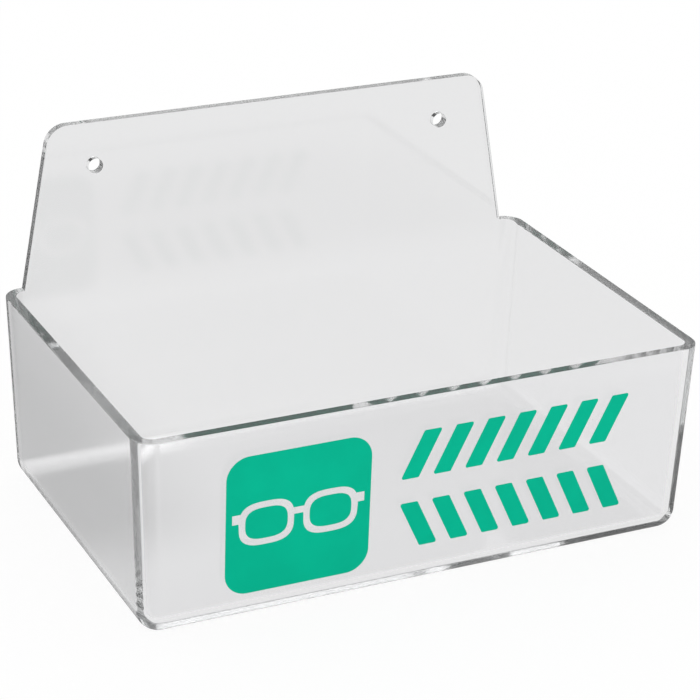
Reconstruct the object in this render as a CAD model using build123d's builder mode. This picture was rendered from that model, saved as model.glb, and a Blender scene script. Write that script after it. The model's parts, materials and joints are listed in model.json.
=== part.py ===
import os
from math import radians, tan

from build123d import *

# Driving dimensions, in millimetres and degrees. X runs left to right, Y to the rear, Z up.
width = 228.6            # rim, outside, left to right
depth = 152.4            # rim, outside, front to rear face
tub_height = 79.0        # underside to rim
back_height = 145.0      # underside to the top edge of the back plate
wall = 4.2               # walls, floor and back plate
draft_angle = 2.0        # front and side walls lean out; the rear wall stays upright
corner_radius = 8.5      # upright corners and the rolled edge round the underside, outside
shoulder = 0.4           # flat bit of rim between a rear corner and the foot of the back plate
plate_top_width = 187.2  # top edge of the back plate, between its corner points
plate_radius = 9.0       # top corners of the back plate
screw_hole = 6.0         # screw holes, diameter
screw_spacing = 150.0    # screw holes, centre to centre
screw_drop = 18.0        # screw holes, below the top edge of the back plate
edge_break = 0.4         # polished round on the rim and round the back plate

rear = depth / 2
slope = tan(radians(draft_angle))
plate_foot_width = width - 2 * corner_radius - 2 * shoulder


def drafted_block(inset, floor):
    """A solid with the tub's leaning sides and rolled base, set in from its outside by inset."""
    rim_x = width / 2 - inset
    rim_y = depth / 2 - inset
    lean = slope * (tub_height - floor)
    with BuildPart() as block:
        with BuildSketch(Plane.YZ):
            with BuildLine():
                Polyline(
                    (lean - rim_y, floor),
                    (-rim_y, tub_height),
                    (rim_y, tub_height),
                    (rim_y, floor),
                    close=True,
                )
            make_face()
        extrude(amount=rim_x, both=True)
        with BuildSketch(Plane.XZ):
            with BuildLine():
                Polyline(
                    (lean - rim_x, floor),
                    (-rim_x, tub_height),
                    (rim_x, tub_height),
                    (rim_x - lean, floor),
                    close=True,
                )
            make_face()
        extrude(amount=rim_y, both=True, mode=Mode.INTERSECT)
        rim = block.faces().sort_by(Axis.Z)[-1]
        fillet(block.edges() - rim.edges(), max(corner_radius - inset, edge_break))
    return block.part


outside = drafted_block(inset=0, floor=0)
inside = drafted_block(inset=wall, floor=wall)

# The tub: one even wall all round, with its flat rim polished along both edges.
with BuildPart() as tub:
    add(outside)
    add(inside, mode=Mode.SUBTRACT)
    fillet(tub.faces().sort_by(Axis.Z)[-1].edges(), edge_break)

# The back plate: it stands in the rear wall, and narrows to two rounded top corners.
with BuildPart() as plate:
    with BuildSketch(Plane.XZ.offset(-rear)) as plate_face:
        with BuildLine():
            Polyline(
                (-plate_foot_width / 2, tub_height - wall),
                (-plate_foot_width / 2, tub_height),
                (-plate_top_width / 2, back_height),
                (plate_top_width / 2, back_height),
                (plate_foot_width / 2, tub_height),
                (plate_foot_width / 2, tub_height - wall),
                close=True,
            )
        make_face()
        fillet(plate_face.vertices().group_by(Axis.Y)[-1], plate_radius)
    extrude(amount=wall)
    crosswise = plate.edges().filter_by(Axis.Y)
    root = plate.edges().group_by(Axis.Z)[0]
    fillet(plate.edges() - crosswise - root, edge_break)

# The holder is moulded in one piece, with two screw holes near the top of its plate.
with BuildPart() as holder:
    add(tub.part)
    add(plate.part)
    with BuildSketch(Plane.XZ.offset(-rear)):
        with Locations((0, back_height - screw_drop)):
            with GridLocations(screw_spacing, 0, 2, 1):
                Circle(screw_hole / 2)
    extrude(amount=wall, mode=Mode.SUBTRACT)

holder.part.label = "holder"
os.makedirs("parts", exist_ok=True)
export_step(holder.part, "parts/holder.step")
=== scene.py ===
import json
from math import cos, pi, radians, sin, tan

import bmesh
import bpy
import numpy as np
from mathutils import Matrix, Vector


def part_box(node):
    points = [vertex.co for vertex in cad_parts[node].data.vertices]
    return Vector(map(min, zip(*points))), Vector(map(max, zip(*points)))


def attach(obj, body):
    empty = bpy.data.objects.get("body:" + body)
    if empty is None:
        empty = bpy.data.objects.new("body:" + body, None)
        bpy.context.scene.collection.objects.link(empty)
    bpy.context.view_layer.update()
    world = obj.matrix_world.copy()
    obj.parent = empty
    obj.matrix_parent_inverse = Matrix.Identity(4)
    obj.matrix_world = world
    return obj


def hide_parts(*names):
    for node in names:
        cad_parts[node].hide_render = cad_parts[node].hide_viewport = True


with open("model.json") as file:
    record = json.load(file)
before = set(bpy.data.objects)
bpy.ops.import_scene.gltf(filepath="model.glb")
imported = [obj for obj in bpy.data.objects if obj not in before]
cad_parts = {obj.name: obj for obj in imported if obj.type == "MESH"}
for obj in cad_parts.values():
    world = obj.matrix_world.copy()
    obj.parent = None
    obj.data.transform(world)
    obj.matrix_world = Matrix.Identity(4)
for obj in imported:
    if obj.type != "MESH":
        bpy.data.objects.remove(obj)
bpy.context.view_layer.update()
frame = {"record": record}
print("frame loaded")

# Sizes in this script are millimetres until a mesh is made: X to the right, Y to the rear, Z up.
mm = 0.001
high = np.array(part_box("holder")[1]) / mm
mounts = {mount["name"]: mount for mount in frame["record"]["mounts"]}


# Shader maths

class Wire:
    # a socket that can be written in sums: each operator adds the Math node it stands for
    def __init__(self, tree, socket):
        self.tree, self.socket = tree, socket

    def node(self, kind, settings, inputs, out=0):
        return addNode(self.tree, kind, settings, inputs, out)

    def maths(self, operation, *values):
        return self.node("Math", {"operation": operation}, dict(enumerate(values)))

    def __add__(self, other):
        return self.maths("ADD", self, other)

    def __radd__(self, other):
        return self.maths("ADD", other, self)

    def __sub__(self, other):
        return self.maths("SUBTRACT", self, other)

    def __rsub__(self, other):
        return self.maths("SUBTRACT", other, self)

    def __mul__(self, other):
        return self.maths("MULTIPLY", self, other)

    def __rmul__(self, other):
        return self.maths("MULTIPLY", other, self)

    def smooth(self, start, end):
        # 0 before start, 1 after end, and an S between them
        return self.node("MapRange", {"interpolation_type": "SMOOTHSTEP"},
                         {"Value": self, "From Min": start, "From Max": end})


def addNode(tree, kind, settings, inputs, out=0):
    # one node: its settings first, then a value or a wire for each socket
    node = tree.nodes.new("ShaderNode" + kind)
    for name, value in settings.items():
        setattr(node, name, value)
    for name, value in inputs.items():
        if isinstance(value, Wire):
            tree.links.new(value.socket, node.inputs[name])
        else:
            node.inputs[name].default_value = value
    return Wire(tree, node.outputs[out] if len(node.outputs) else None)


def newMaterial(name):
    material = bpy.data.materials.new(name)
    material.use_nodes = True
    material.node_tree.nodes.clear()
    return material, material.node_tree


# Mesh making

def weld(points, normals, quads):
    # Points that coincide become one, and quads that lose one side become triangles. Each face corner keeps
    # the normal that its own point had, so an edge may be crisp where two surfaces meet.
    cellsPerMm, offGrid = 2e3, 0.317    # the second keeps round sizes away from the cells' sides
    keys = np.floor(points * cellsPerMm + offGrid).astype(np.int64)
    _, first, where = np.unique(keys, axis=0, return_index=True, return_inverse=True)
    corners = where.reshape(-1)[quads]
    stays = corners != np.roll(corners, -1, axis=1)
    opposite = (corners[:, 0] != corners[:, 2]) & (corners[:, 1] != corners[:, 3])
    faces, cornerNormals = [], []
    for sides in (4, 3):
        chosen = (stays.sum(axis=1) == sides) & opposite
        mask = stays[chosen]
        faces += corners[chosen][mask].reshape(-1, sides).tolist()
        cornerNormals.append(normals[quads[chosen][mask]])
    return points[first], np.concatenate(cornerNormals), faces


def makeMesh(name, points, normals, quads):
    points, cornerNormals, faces = weld(points, normals, quads)
    mesh = bpy.data.meshes.new(name)
    mesh.from_pydata((points * mm).tolist(), [], faces)
    mesh.polygons.foreach_set("use_smooth", np.ones(len(faces), bool))
    mesh.normals_split_custom_set(cornerNormals.tolist())
    mesh.update()
    piece = bpy.data.objects.new(name, mesh)
    bpy.context.scene.collection.objects.link(piece)
    return piece


def gridQuads(rows, columns, closed=False):
    # corner numbers of the quads of a grid, row by row; a closed grid's last column meets its first
    number = np.arange(rows * columns).reshape(rows, columns)
    if closed:
        number = np.hstack([number, number[:, :1]])
    return np.stack([number[:-1, :-1], number[:-1, 1:], number[1:, 1:], number[1:, :-1]], axis=-1)


# The holder: one even wall all round, a rolled base, and a rear wall that grows into the plate

holder = {
    "rimHeight": 79.0,       # underside to rim
    "wall": 4.2,             # walls, floor and plate
    "draft": 2.0,            # degrees that the front and the sides lean out; the rear is upright
    "cornerRadius": 8.5,     # upright corners and rolled base, outside
    "polish": 0.4,           # round along every top edge
    "shoulder": 0.4,         # rim between a rear corner and the foot of the plate
    "plateTop": 187.2,       # width of the plate's top edge, between its corner points
    "plateRadius": 9.0,
    "holeMouth": 0.15,       # round at both mouths of a screw hole
    "patch": 20.0,           # side of the square of the plate that is meshed round a hole
    "cornerSteps": 24,
    "rollSteps": 24,
    "polishSteps": 6,
    "holeSteps": 16,         # along each side of a hole's square
    "holeShares": (0, 0.5, 0.8, 1),  # rings of that square, from its sides in to the hole
    "mouthSteps": 4,
}

slope = tan(radians(holder["draft"]))
lean = radians(holder["draft"])
# the polished round takes a hair off the leaning rim, so the box is that much narrower than the rim's
# two corners
hair = holder["polish"] * (slope + 1 / cos(lean) - 1)
halfWidth = high[0] + hair
halfDepth = high[1]
plateHeight = high[2]
rimHeight = holder["rimHeight"]
upward = np.array([0.0, 0.0, 1.0])
rearward = np.array([0.0, 1.0, 0.0])
wallNormals = {
    "front": np.array([0, -cos(lean), -sin(lean)]),
    "right": np.array([cos(lean), 0, -sin(lean)]),
    "rear": rearward,
    "left": np.array([-cos(lean), 0, -sin(lean)]),
}


def plateEdge():
    # The plate's outline from its right foot to its left one: a straight side, an arc, the top edge and back.
    # Gives each point in the XZ plane, the outward direction there, and that direction stretched at a mitre.
    foot = halfWidth - holder["cornerRadius"] - holder["shoulder"]
    top = holder["plateTop"] / 2
    side = np.array([top - foot, plateHeight - rimHeight])
    side /= np.linalg.norm(side)
    sideOut = np.array([side[1], -side[0]])
    turn = np.arccos(sideOut[1])
    reach = holder["plateRadius"] * tan(turn / 2)
    centre = np.array([top - reach, plateHeight - holder["plateRadius"]])
    angles = np.linspace(pi / 2 - turn, pi / 2, holder["cornerSteps"])
    arcOut = np.stack([np.cos(angles), np.sin(angles)], axis=-1)
    arc = centre + holder["plateRadius"] * arcOut
    hole = mounts["screw_holes"]["dims"]["spacing_x_mm"] / 2
    across = hole + np.linspace(0.5, -0.5, holder["holeSteps"] + 1) * holder["patch"]
    edge = np.stack([across, np.full(len(across), plateHeight)], axis=-1)
    atFoot = np.array([[foot, rimHeight]] * 2)
    flat = np.array([0.0, 1.0])
    mitre = (flat + sideOut) / (1 + flat @ sideOut)
    points = np.vstack([atFoot, arc, edge])
    outs = np.vstack([flat, sideOut, arcOut, np.tile(flat, (len(edge), 1))])
    stretched = np.vstack([mitre, mitre, outs[2:]])
    mirror = np.array([-1.0, 1.0])
    return [np.vstack([half, half[::-1] * mirror]) for half in (points, outs, stretched)]


edgePoints, edgeOuts, edgeStretched = plateEdge()


def shell(inset, radius):
    # The tub's surface at one inset: for each station round it, the centre of its rolled base, the
    # direction in which that centre climbs the wall, and the wall's normal.
    level = inset + radius
    drop = slope * (rimHeight - level) + radius / cos(lean)
    cornerX = halfWidth - inset - drop
    frontY = -(halfDepth - inset - drop)
    rearY = halfDepth - inset - radius
    topX = halfWidth - inset - radius
    centres, climbs, normals = [], [], []

    def corner(first, second, x, y):
        start, end = wallNormals[first], wallNormals[second]
        turn = np.arccos(start @ end)
        share = np.linspace(0, 1, holder["cornerSteps"] + 1)[:, None]
        normals.append((np.sin((1 - share) * turn) * start + np.sin(share * turn) * end) / sin(turn))
        climb = np.cross(start, end)
        climbs.append(np.tile(climb / climb[2], (len(share), 1)))
        centres.append(np.tile([x, y, level], (len(share), 1)))

    def straight(name, y, xs):
        rise = rimHeight - level
        base = xs * cornerX / topX
        back = slope if name == "front" else 0
        centres.append(np.stack([base, np.full(len(xs), y), np.full(len(xs), level)], axis=-1))
        climbs.append(np.stack([(xs - base) / rise, np.full(len(xs), -back), np.ones(len(xs))], axis=-1))
        normals.append(np.tile(wallNormals[name], (len(xs), 1)))

    straight("front", frontY, edgePoints[::-1, 0])
    corner("front", "right", cornerX, frontY)
    corner("right", "rear", cornerX, rearY)
    straight("rear", rearY, edgePoints[:, 0])
    corner("rear", "left", -cornerX, rearY)
    corner("left", "front", -cornerX, frontY)
    return [np.vstack(part) for part in (centres, climbs, normals)]


def holderGrid():
    # One grid goes from the underside up the outer wall, over the edge and down to the floor inside. Its
    # columns are the stations round the tub, and along the plate's foot, sides and top its edge follows it.
    wall, polish, radius = holder["wall"], holder["polish"], holder["cornerRadius"]
    outCentres, outClimbs, normals = shell(0, radius)
    inCentres, inClimbs, _ = shell(wall, radius - wall)
    count, plateCount = len(normals), len(edgePoints)
    flatOut = normals * [1, 1, 0]
    flatOut /= np.linalg.norm(flatOut, axis=1, keepdims=True)
    tilt = np.arcsin(-normals[:, 2])
    onPlate = np.zeros(count, bool)
    firstPlate = plateCount + 2 * (holder["cornerSteps"] + 1)
    onPlate[firstPlate:firstPlate + plateCount] = True
    ups, stretched = np.tile(upward, (count, 1)), np.tile(upward, (count, 1))
    ups[onPlate] = edgeOuts[:, [0, 0, 1]] * [1, 0, 1]
    stretched[onPlate] = edgeStretched[:, [0, 0, 1]] * [1, 0, 1]

    def edgeBall(centres, climbs, reach, y):
        # centre of the polished round: that far from the climbing centre, and one round below the edge
        rise = rimHeight - polish - centres[:, 2] - reach * normals[:, 2]
        ball = centres + climbs * rise[:, None] + reach * normals
        ball[onPlate] = np.insert(edgePoints, 1, y, axis=1) - polish * stretched[onPlate]
        return ball

    outBall = edgeBall(outCentres, outClimbs, radius - polish, halfDepth - polish)
    inBall = edgeBall(inCentres, inClimbs, radius - wall + polish, halfDepth - wall + polish)
    rows, rowNormals = [], []

    def addRow(points, facing):
        rows.append(points)
        rowNormals.append(facing)

    def roll(centres, size, side, shares):
        # the rolled base: an arc from straight down to the wall's own normal
        for share in shares:
            angle = -pi / 2 + share * (pi / 2 - tilt)
            way = np.cos(angle)[:, None] * flatOut + np.sin(angle)[:, None] * upward
            addRow(centres + size * way, side * way)

    def polishArc(ball, start, end):
        for share in np.linspace(0, 1, holder["polishSteps"] + 1):
            angle = start + share * (end - start)
            across, along = np.cos(angle)[:, None], np.sin(angle)[:, None]
            addRow(ball + polish * (across * flatOut + along * stretched), across * flatOut + along * ups)

    holeHeight = mounts["screw_holes"]["pos_m"][2] / mm
    patchLevels = holeHeight + np.linspace(-0.5, 0.5, holder["holeSteps"] + 1) * holder["patch"]
    levels = [rimHeight - polish, *patchLevels]

    def wallRows(ball, side, order):
        # crossings of the wall's columns with fixed heights, held down to where the polished round starts
        foot = ball + polish * side * normals
        for level in order:
            row = foot.copy()
            row[onPlate, 2] = np.minimum(level, foot[onPlate, 2])
            addRow(row, side * normals)

    shares = np.linspace(0, 1, holder["rollSteps"] + 1)
    roll(outCentres, radius, 1, shares)
    outWall = len(rows)
    wallRows(outBall, 1, levels)
    polishArc(outBall, -tilt, pi / 2)
    polishArc(inBall, pi / 2, pi - tilt)
    inWall = len(rows)
    wallRows(inBall, -1, levels[::-1])
    roll(inCentres, radius - wall, -1, shares[::-1])

    quads = gridQuads(len(rows), count, closed=True)
    # the four squares round the holes, two in each face of the plate, are left open for the rings
    kept = np.ones(quads.shape[:2], bool)
    steps = holder["holeSteps"]
    right = firstPlate + 2 + holder["cornerSteps"]
    left = right + steps + 1
    for first in (right, left):
        kept[outWall + 1:outWall + 1 + steps, first:first + steps] = False
        kept[inWall:inWall + steps, first:first + steps] = False
    return np.concatenate(rows), np.concatenate(rowNormals), quads[kept], count, plateCount, firstPlate


def levelSheet(loop, count, plateCount, firstPlate, facing):
    # the flat floor between the front and the rear stations of one row of the grid
    front, rear = loop[:plateCount], loop[firstPlate:firstPlate + plateCount][::-1]
    corner = holder["cornerSteps"] + 1
    frontLine = np.vstack([loop[-1], front, loop[plateCount]])
    rearLine = np.vstack([loop[count - 2 * corner], rear, loop[firstPlate - 1]])
    points = np.vstack([frontLine, rearLine] if facing > 0 else [rearLine, frontLine])
    return points, np.tile(upward * facing, (len(points), 1)), gridQuads(2, len(frontLine)).reshape(-1, 4)


def holeRings(x):
    # The plate round one hole: from the square in the rear face in to the hole's mouth, through the bore, and
    # out to the square in the front face.
    steps, half = holder["holeSteps"], holder["patch"] / 2
    bore, mouth = mounts["screw_holes"]["dims"]["hole_r_mm"], holder["holeMouth"]
    height = mounts["screw_holes"]["pos_m"][2] / mm
    line = np.linspace(-half, half, steps + 1)[:-1]
    square = np.concatenate([np.stack([line, np.full(steps, -half)], axis=-1),
                             np.stack([np.full(steps, half), line], axis=-1),
                             np.stack([-line, np.full(steps, half)], axis=-1),
                             np.stack([np.full(steps, -half), -line], axis=-1)])
    circle = square / np.linalg.norm(square, axis=1, keepdims=True)
    rows, rowNormals = [], []

    def addRing(flat, y, facing):
        rows.append(np.stack([x + flat[:, 0], np.full(len(flat), y), height + flat[:, 1]], axis=-1))
        rowNormals.append(facing)

    spread = np.stack([circle[:, 0], 0 * circle[:, 0], circle[:, 1]], axis=-1)
    for side, y in ((1, halfDepth), (-1, halfDepth - holder["wall"])):
        part = []
        for share in holder["holeShares"]:
            flat = square * (1 - share) + circle * (bore + mouth) * share
            part.append((flat, y, np.tile(side * rearward, (4 * steps, 1))))
        for angle in np.linspace(0, pi / 2, holder["mouthSteps"] + 1)[1:]:
            size = bore + mouth * (1 - sin(angle))
            facing = side * cos(angle) * rearward - sin(angle) * spread
            part.append((circle * size, y - side * mouth * (1 - cos(angle)), facing))
        for ring in part[::side]:
            addRing(*ring)
    quads = gridQuads(len(rows), 4 * steps, closed=True).reshape(-1, 4)[:, ::-1]
    return np.concatenate(rows), np.concatenate(rowNormals), quads


def makeHolder():
    points, normals, quads, count, plateCount, firstPlate = holderGrid()
    spacing = mounts["screw_holes"]["dims"]["spacing_x_mm"]
    parts = [(points, normals, quads),
             levelSheet(points[:count], count, plateCount, firstPlate, -1),
             levelSheet(points[-count:], count, plateCount, firstPlate, 1),
             holeRings(spacing / 2), holeRings(-spacing / 2)]
    sizes = np.cumsum([0] + [len(part[0]) for part in parts])
    return makeMesh("clear_holder", np.concatenate([part[0] for part in parts]),
                    np.concatenate([part[1] for part in parts]),
                    np.concatenate([part[2] + size for part, size in zip(parts, sizes)]))


clearHolder = makeHolder()
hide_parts("holder")
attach(clearHolder, "root")
print("holder made")


# Clear acrylic

acrylic = {
    "tint": (0.985, 0.985, 0.99),
    "haze": (0.052, 0.078),   # roughness, which drifts between these over the surface
    "hazeScale": 45.0,        # per metre
    "hazeDetail": 2.0,
    "ior": 1.49,
    "absorbTint": (0.485, 0.5, 0.5),
    "absorb": 3.0,            # per metre
}


def acrylicMaterial():
    material, tree = newMaterial("clear_acrylic")
    place = addNode(tree, "TexCoord", {}, {}, "Object")
    drift = addNode(tree, "TexNoise", {}, {
        "Vector": place, "Scale": acrylic["hazeScale"], "Detail": acrylic["hazeDetail"]}, "Fac")
    least, most = acrylic["haze"]
    surface = addNode(tree, "BsdfPrincipled", {}, {
        "Base Color": (*acrylic["tint"], 1),
        "Roughness": least + (most - least) * drift,
        "IOR": acrylic["ior"],
        "Transmission Weight": 1.0,
    })
    inside = addNode(tree, "VolumeAbsorption", {}, {
        "Color": (*acrylic["absorbTint"], 1),
        "Density": acrylic["absorb"],
    })
    addNode(tree, "OutputMaterial", {}, {"Surface": surface, "Volume": inside})
    return material


clearHolder.data.materials.append(acrylicMaterial())


# The print on the front wall: a panel with a pair of spectacles left clear in it, and two rows of bars

ink = {
    "lift": 0.03,             # the ink's face stands this far out of the wall,
    "sunk": 0.02,             # and its back lies this deep in it
    "panelCentre": (-52.5, 39.5),
    "panelSize": (57.0, 56.0),
    "panelRadius": 9.0,
    "lensAside": 12.6,        # from the panel's centre to the middle of a lens
    "lensSize": (10.8, 8.8),   # half width and half height of a lens, frame included
    "lensSquareness": 3.0,
    "frame": 2.5,             # width of the frame's line
    "bridge": (1.2, 3.9),     # lowest and highest line of the bridge, from the middle
    "temple": (2.1, 5.0),     # the same of the bars at the sides
    "templeEnd": 26.0,
    "rowHeights": (55.5, 26.5),
    "rowSpan": (-12.0, 94.0),
    "barHeight": 19.0,
    "barWidth": 7.4,
    "barPitch": 13.1,
    "barSlant": 9.0,
    "barRound": 0.8,
    "panelSteps": 16,         # points in each of the panel's corners, and in each of a bar's
    "barSteps": 6,
    "lensSteps": 96,          # points round a lens, and along each side of the whole frame
    "frameSteps": 480,
    "weld": 1e-4,             # points nearer than this become one
    "colour": (0.0, 0.575, 0.35),
    "backColour": (0.006, 0.19, 0.13),  # the ink's colour darkened to about a third: painted shade on the side that sticks to the wall, which keeps the rims above the print dark
    "thin": 0.94,             # brightness where the ink lies thinner
    "cloudScale": 60.0,       # per metre, for the thin patches and for the grain
    "cloudFade": (0.3, 0.7),
    "cloudDetail": 3.0,
    "grainScale": 2500.0,
    "grainDetail": 2.0,
    "grainStrength": 0.15,
    "grainHeight": 0.00005,   # metres
    "roughness": 0.45,
    "gloss": 0.05,
}


def roundedLoop(corners, radius, steps):
    # a closed outline through the corners, each of them cut off by an arc that touches both of its sides
    corners = np.array(corners, float)
    into = corners - np.roll(corners, 1, axis=0)
    into /= np.linalg.norm(into, axis=1, keepdims=True)
    away = np.roll(into, -1, axis=0)
    turn = np.arctan2(into[:, 0] * away[:, 1] - into[:, 1] * away[:, 0], (into * away).sum(axis=1))
    start = corners - into * (radius * np.tan(np.abs(turn) / 2))[:, None]
    side = np.stack([-into[:, 1], into[:, 0]], axis=-1) * np.sign(turn)[:, None]
    angles = np.abs(turn)[:, None] * np.linspace(0, 1, steps)
    return (start[:, None] + radius * (np.sin(angles)[..., None] * into[:, None]
                                       + (1 - np.cos(angles))[..., None] * side[:, None])).reshape(-1, 2)


def lensLoop(centre, grow):
    # a squarish oval: its half sizes times a cosine and a sine, each flattened by one power
    angles = np.arange(ink["lensSteps"]) * 2 * pi / ink["lensSteps"]
    power = 2 / ink["lensSquareness"]
    flat = [np.sign(wave) * np.abs(wave) ** power for wave in (np.cos(angles), np.sin(angles))]
    return np.stack([centre[0] + (ink["lensSize"][0] + grow) * flat[0],
                     centre[1] + (ink["lensSize"][1] + grow) * flat[1]], axis=-1)


def spectaclesLoop(centre):
    # the outline of the whole frame: above each point across, the highest of lenses, bridge and temples
    across = np.linspace(-1, 1, ink["frameSteps"]) * ink["templeEnd"]
    beside = np.abs(np.abs(across) - ink["lensAside"]) / ink["lensSize"][0]
    power = ink["lensSquareness"]
    lens = ink["lensSize"][1] * np.maximum(1 - beside ** power, 0) ** (1 / power)
    inner = np.abs(across) < ink["lensAside"]
    above = np.maximum(lens, np.where(inner, ink["bridge"][1], ink["temple"][1]))
    below = np.minimum(np.where(lens > 0, -lens, ink["bridge"][0]),
                       np.where(inner, ink["bridge"][0], ink["temple"][0]))
    top = np.stack([across, above], axis=-1)
    bottom = np.stack([across, below], axis=-1)
    return np.vstack([top[::-1], bottom]) + centre


def printLoops():
    # the panel, the frame and its two clear lenses, then each row of bars, as many as its span takes
    centre = np.array(ink["panelCentre"])
    half = np.array(ink["panelSize"]) / 2
    square = np.array([[-1, -1], [1, -1], [1, 1], [-1, 1]])
    panel = roundedLoop(centre + half * square, ink["panelRadius"], ink["panelSteps"])
    loops = [panel, spectaclesLoop(centre)]
    for side in (-1, 1):
        loops.append(lensLoop(centre + [side * ink["lensAside"], 0], -ink["frame"]))
    for height, slant in zip(ink["rowHeights"], (ink["barSlant"], -ink["barSlant"])):
        first, last = ink["rowSpan"]
        count = int((last - first - ink["barWidth"] - abs(slant)) // ink["barPitch"]) + 1
        for start in first + abs(slant) / 2 + ink["barPitch"] * np.arange(count):
            across = np.array([0, ink["barWidth"], ink["barWidth"], 0])
            rise = np.array([-0.5, -0.5, 0.5, 0.5])
            bar = np.stack([start + across + slant * rise, height + ink["barHeight"] * rise], axis=-1)
            loops.append(roundedLoop(bar, ink["barRound"], ink["barSteps"]))
    return loops


def makePrint():
    # the outlines are filled as one flat sheet, in which an outline inside another is a hole
    curve = bpy.data.curves.new("front_print", "CURVE")
    curve.dimensions, curve.fill_mode = "2D", "BOTH"
    curve.extrude = (ink["lift"] + ink["sunk"]) / 2
    for loop in printLoops():
        spline = curve.splines.new("POLY")
        spline.points.add(len(loop) - 1)
        spline.points.foreach_set("co", np.pad(loop, ((0, 0), (0, 2))).ravel())
        spline.use_cyclic_u = True
    flat = bpy.data.objects.new("front_print", curve)
    mesh = bpy.data.meshes.new_from_object(flat)
    bpy.data.objects.remove(flat)
    form = bmesh.new()
    form.from_mesh(mesh)
    bmesh.ops.remove_doubles(form, verts=form.verts, dist=ink["weld"])
    bmesh.ops.recalc_face_normals(form, faces=form.faces)
    form.to_mesh(mesh)
    form.free()
    # from the drawing to the wall: across stays, up follows the lean, and thickness goes along its normal
    points = np.empty(len(mesh.vertices) * 3, np.float32)
    mesh.vertices.foreach_get("co", points)
    across, height, thick = points.reshape(-1, 3).T.astype(float)
    thick = (thick + (ink["lift"] - ink["sunk"]) / 2)[:, None]
    wall = np.stack([across, slope * (rimHeight - height) - halfDepth, height], axis=-1)
    mesh.vertices.foreach_set("co", ((wall + thick * wallNormals["front"]) * mm).ravel())
    mesh.update()
    # the faces that stick to the wall take the second material, the ink's colour darkened as painted shade
    facing = np.empty(len(mesh.polygons) * 3, np.float32)
    mesh.polygons.foreach_get("normal", facing)
    inward = facing.reshape(-1, 3) @ wallNormals["front"] < -0.5
    mesh.polygons.foreach_set("material_index", inward.astype(np.int32))
    piece = bpy.data.objects.new("front_print", mesh)
    bpy.context.scene.collection.objects.link(piece)
    return piece


def inkMaterial(name, ground):
    material, tree = newMaterial(name)
    place = addNode(tree, "TexCoord", {}, {}, "Object")
    cloud, grain = (addNode(tree, "TexNoise", {}, {
        "Vector": place, "Scale": ink[part + "Scale"], "Detail": ink[part + "Detail"]}, "Fac")
        for part in ("cloud", "grain"))
    colour = addNode(tree, "Mix", {"data_type": "RGBA"}, {
        "Factor": cloud.smooth(*ink["cloudFade"]), 6: (*ground, 1),
        7: (*[ink["thin"] * part for part in ground], 1)}, 2)
    bump = addNode(tree, "Bump", {}, {
        "Height": grain, "Strength": ink["grainStrength"], "Distance": ink["grainHeight"]})
    surface = addNode(tree, "BsdfPrincipled", {}, {
        "Base Color": colour, "Roughness": ink["roughness"],
        "Specular IOR Level": ink["gloss"], "Normal": bump})
    addNode(tree, "OutputMaterial", {}, {"Surface": surface})
    return material


frontPrint = makePrint()
frontPrint.data.materials.append(inkMaterial("green_print", ink["colour"]))
# the back is a painted-shade copy of the ink, darker so that the light guided in the rims above the print
# stays dark
frontPrint.data.materials.append(inkMaterial("green_print_back", ink["backColour"]))
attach(frontPrint, "root")
print("print made")


# Floor, light and camera

# A level is a brightness, where 1 is white. Away is along Y and across is along X, in metres on the floor.
# Rise, aside and middle are parts of a direction in the room: upward 1 is straight up, aside 1 the right.
studio = {
    "floorSize": 6000.0,
    "floorGap": 0.05,           # under the holder
    "floorColour": (0.9, 0.9, 0.9),
    "floorGlow": 0.9,           # share of the floor's brightness that no shadow reaches
    "white": 1.02,              # the background as the camera sees it
    "light": 0.9,               # what falls on the ink and the floor
    # the floor levels through the walls are painted: a little lighter under the tub, painted shade towards
    # its left, a painted shadow in front of its right half
    "through": 0.82,            # what the clear walls show of the floor behind them,
    "throughUnder": 0.86,       # of the floor under the tub,
    "throughLeft": 0.68,        # towards its left,
    "throughFront": 0.42,       # in front of its right half
    "throughOutside": 0.82,     # and beside it at the left
    "underAway": (0.062, 0.09),
    "leftAcross": (-0.1, -0.03),
    "leftAway": (-0.03, 0.02),
    "outsideAcross": (-0.13, -0.115),
    "caustic": 0.28,            # painted light on the floor: a streak where the rear wall would gather light
    "causticAway": (0.062, 0.068, 0.079, 0.085),
    "causticAcross": (-0.06, -0.03),
    "backdrop": 0.8,            # the low part of the room
    "roomLeft": 0.05,           # the room above it, at the rear left,
    "roomRight": 0.42,          # at the rear right
    "roomAhead": 0.36,          # and on the near side
    "roomRise": (0.22, 0.32),
    "lamp": 2.6,                # the lamp overhead, which stands to the right
    "lampRise": (0.78, 0.83),
    "lampAside": (-0.34, -0.2),
    "middle": (-0.1, 0.1),      # where the room's sides meet
    # the floor levels among these are painted shade for what the walls reflect: darker than the floor itself,
    # darkest at the left and lighter in front
    "mirrorSky": 0.9,           # what they reflect of the room,
    "mirror": 0.3,              # of the floor,
    "mirrorLeft": 0.06,         # at the left
    "mirrorFront": 0.9,         # and in front
    "mirrorLeftAcross": (-0.145, -0.105),
    "frontAway": (-0.135, -0.075),
    "frontFarAway": (-0.3, -0.2),
    "frontAcross": (-0.08, 0.02),
    "frontEndAcross": (0.14, 0.26),
    "bounces": 48,              # light that is guided inside the walls turns round many times
}


def pathLight(tree):
    # which kind of ray looks: straight from the camera, through a clear wall, or off one
    camera, through, glossy = [addNode(tree, "LightPath", {}, {}, out) for out in
                               ("Is Camera Ray", "Is Transmission Ray", "Is Glossy Ray")]
    return camera, through, glossy * (1 - through)


def blend(start, end, share):
    return start + (end - start) * share


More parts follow.
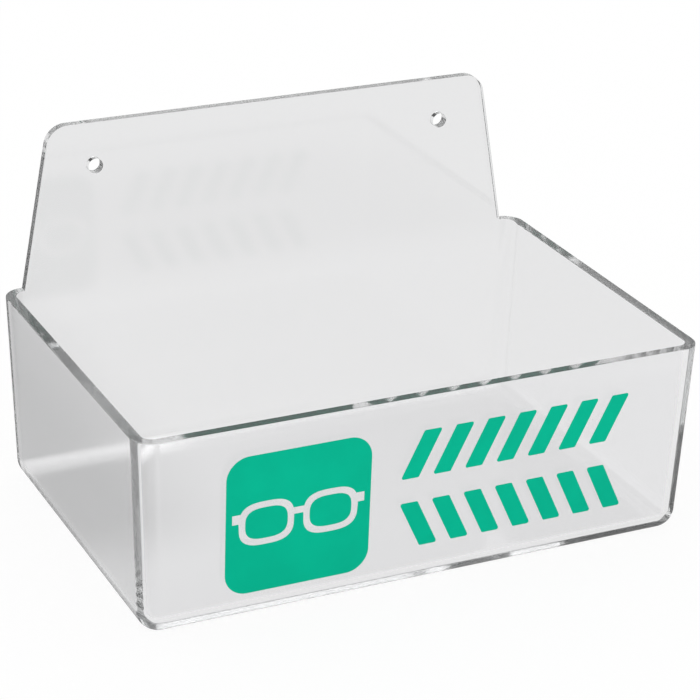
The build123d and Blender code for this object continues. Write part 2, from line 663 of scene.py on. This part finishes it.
def makeFloor():
    # an even pale floor with a shadow to the camera; to the clear walls it shows painted light and shade:
    # lighter under the tub, darker towards its left and in a patch in front, a painted bright streak behind
    # it, and in reflections darker at the left and lighter in front
    half = studio["floorSize"] / 2
    corners = np.array([[-half, -half, 0], [half, -half, 0], [half, half, 0], [-half, half, 0]], float)
    corners[:, 2] = -studio["floorGap"]
    floor = makeMesh("floor", corners, np.tile(upward, (4, 1)), np.array([[0, 1, 2, 3]]))
    material, tree = newMaterial("floor")
    camera, through, mirrored = pathLight(tree)
    place = addNode(tree, "TexCoord", {}, {}, "Object")
    across, away = (addNode(tree, "SeparateXYZ", {}, {"Vector": place}, axis) for axis in "XY")
    # painted light: seen through the walls the floor is a little lighter under the tub
    throughLevel = blend(studio["throughUnder"], studio["through"], away.smooth(*studio["underAway"]))
    # painted shade on the floor towards the left of the tub, seen only through the walls
    leftShadeMask = (1 - across.smooth(*studio["leftAcross"])) * away.smooth(*studio["leftAway"])
    throughLevel = blend(throughLevel, studio["throughLeft"], leftShadeMask)
    # a painted shadow patch on the floor in front of the tub's right half, seen only through the walls
    front = (1 - away.smooth(*studio["frontAway"])) * away.smooth(*studio["frontFarAway"])
    shadowPatch = front * across.smooth(*studio["frontAcross"])
    shadowPatch = shadowPatch * (1 - across.smooth(*studio["frontEndAcross"]))
    throughLevel = blend(throughLevel, studio["throughFront"], shadowPatch)
    throughLevel = blend(studio["throughOutside"], throughLevel, across.smooth(*studio["outsideAcross"]))
    # a painted streak of light on the floor behind the tub, seen only through the walls
    near, nearer, far, farther = studio["causticAway"]
    paintedStreak = away.smooth(near, nearer) * (1 - away.smooth(far, farther))
    paintedStreak = paintedStreak * (1 - across.smooth(*studio["causticAcross"]))
    throughLevel = throughLevel + paintedStreak * studio["caustic"]
    # painted reflection levels of the floor: dark, lighter in front and darkest at the left
    mirrorLevel = blend(studio["mirrorFront"], studio["mirror"], away.smooth(*studio["frontAway"]))
    mirrorLevel = blend(studio["mirrorLeft"], mirrorLevel, across.smooth(*studio["mirrorLeftAcross"]))
    level = camera * studio["white"] + through * throughLevel + mirrored * mirrorLevel
    glow = addNode(tree, "Emission", {}, {"Color": (1, 1, 1, 1), "Strength": level})
    plain = addNode(tree, "BsdfDiffuse", {}, {"Color": (*studio["floorColour"], 1)})
    seen = camera * studio["floorGlow"] + (through + mirrored)
    mixed = addNode(tree, "MixShader", {}, {0: seen, 1: plain, 2: glow})
    addNode(tree, "OutputMaterial", {}, {"Surface": mixed})
    floor.data.materials.append(material)


def makeWorld():
    # white to the camera, plain light on what isn't clear, and a room with a lamp to the clear walls
    world = bpy.data.worlds.new("studio")
    bpy.context.scene.world = world
    world.use_nodes = True
    tree = world.node_tree
    tree.nodes.clear()
    camera, through, mirrored = pathLight(tree)
    way = addNode(tree, "TexCoord", {}, {}, "Generated")
    side, back, rise = (addNode(tree, "SeparateXYZ", {}, {"Vector": way}, axis) for axis in "XYZ")
    right, ahead = side.smooth(*studio["middle"]), 1 - back.smooth(*studio["middle"])
    room = blend(blend(studio["roomLeft"], studio["roomRight"], right), studio["roomAhead"], ahead)
    throughLevel = blend(studio["backdrop"], room, rise.smooth(*studio["roomRise"]))
    throughLevel = blend(throughLevel, studio["lamp"],
                         rise.smooth(*studio["lampRise"]) * side.smooth(*studio["lampAside"]))
    plain = 1 - camera - through - mirrored
    level = (camera * studio["white"] + through * throughLevel
             + mirrored * studio["mirrorSky"] + plain * studio["light"])
    sky = addNode(tree, "Background", {}, {"Color": (1, 1, 1, 1), "Strength": level})
    addNode(tree, "OutputWorld", {}, {"Surface": sky})


view = {
    "azimuth": 25.464,      # degrees that the camera stands to the left of the front
    "elevation": 23.745,
    "roll": 1.260,
    "distance": 1012.97,
    "focal": 2606.91,       # in pixels of the 700 pixel frame
    "frame": 700,
    "sensor": 36.0,
    "target": (0, 0, 60.0),
    "aside": (2.031, 5.012),  # right and up, in the picture's plane
    "clip": (0.01, 50.0),     # metres
}


def makeCamera():
    # it looks along its azimuth and elevation at the target, is turned by the roll, and then stands aside
    azimuth, elevation, roll = (radians(view[name]) for name in ("azimuth", "elevation", "roll"))
    ahead = np.array([sin(azimuth) * cos(elevation), cos(azimuth) * cos(elevation), -sin(elevation)])
    level = np.array([cos(azimuth), -sin(azimuth), 0])
    above = np.cross(level, ahead)
    right = level * cos(roll) + above * sin(roll)
    up = above * cos(roll) - level * sin(roll)
    aside = right * view["aside"][0] + up * view["aside"][1]
    place = np.array(view["target"]) - ahead * view["distance"] + aside
    camera = bpy.data.objects.new("camera", bpy.data.cameras.new("camera"))
    bpy.context.scene.collection.objects.link(camera)
    turn = np.stack([right, up, -ahead], axis=1)
    camera.matrix_world = Matrix([[*row, at * mm] for row, at in zip(turn, place)] + [[0, 0, 0, 1]])
    camera.data.sensor_width = view["sensor"]
    camera.data.lens = view["focal"] * view["sensor"] / view["frame"]
    camera.data.clip_start, camera.data.clip_end = view["clip"]
    bpy.context.scene.camera = camera


makeFloor()
makeWorld()
makeCamera()
scene = bpy.context.scene
scene.view_settings.view_transform = "Standard"
scene.cycles.max_bounces = scene.cycles.glossy_bounces = scene.cycles.transmission_bounces = studio["bounces"]
print("studio made")
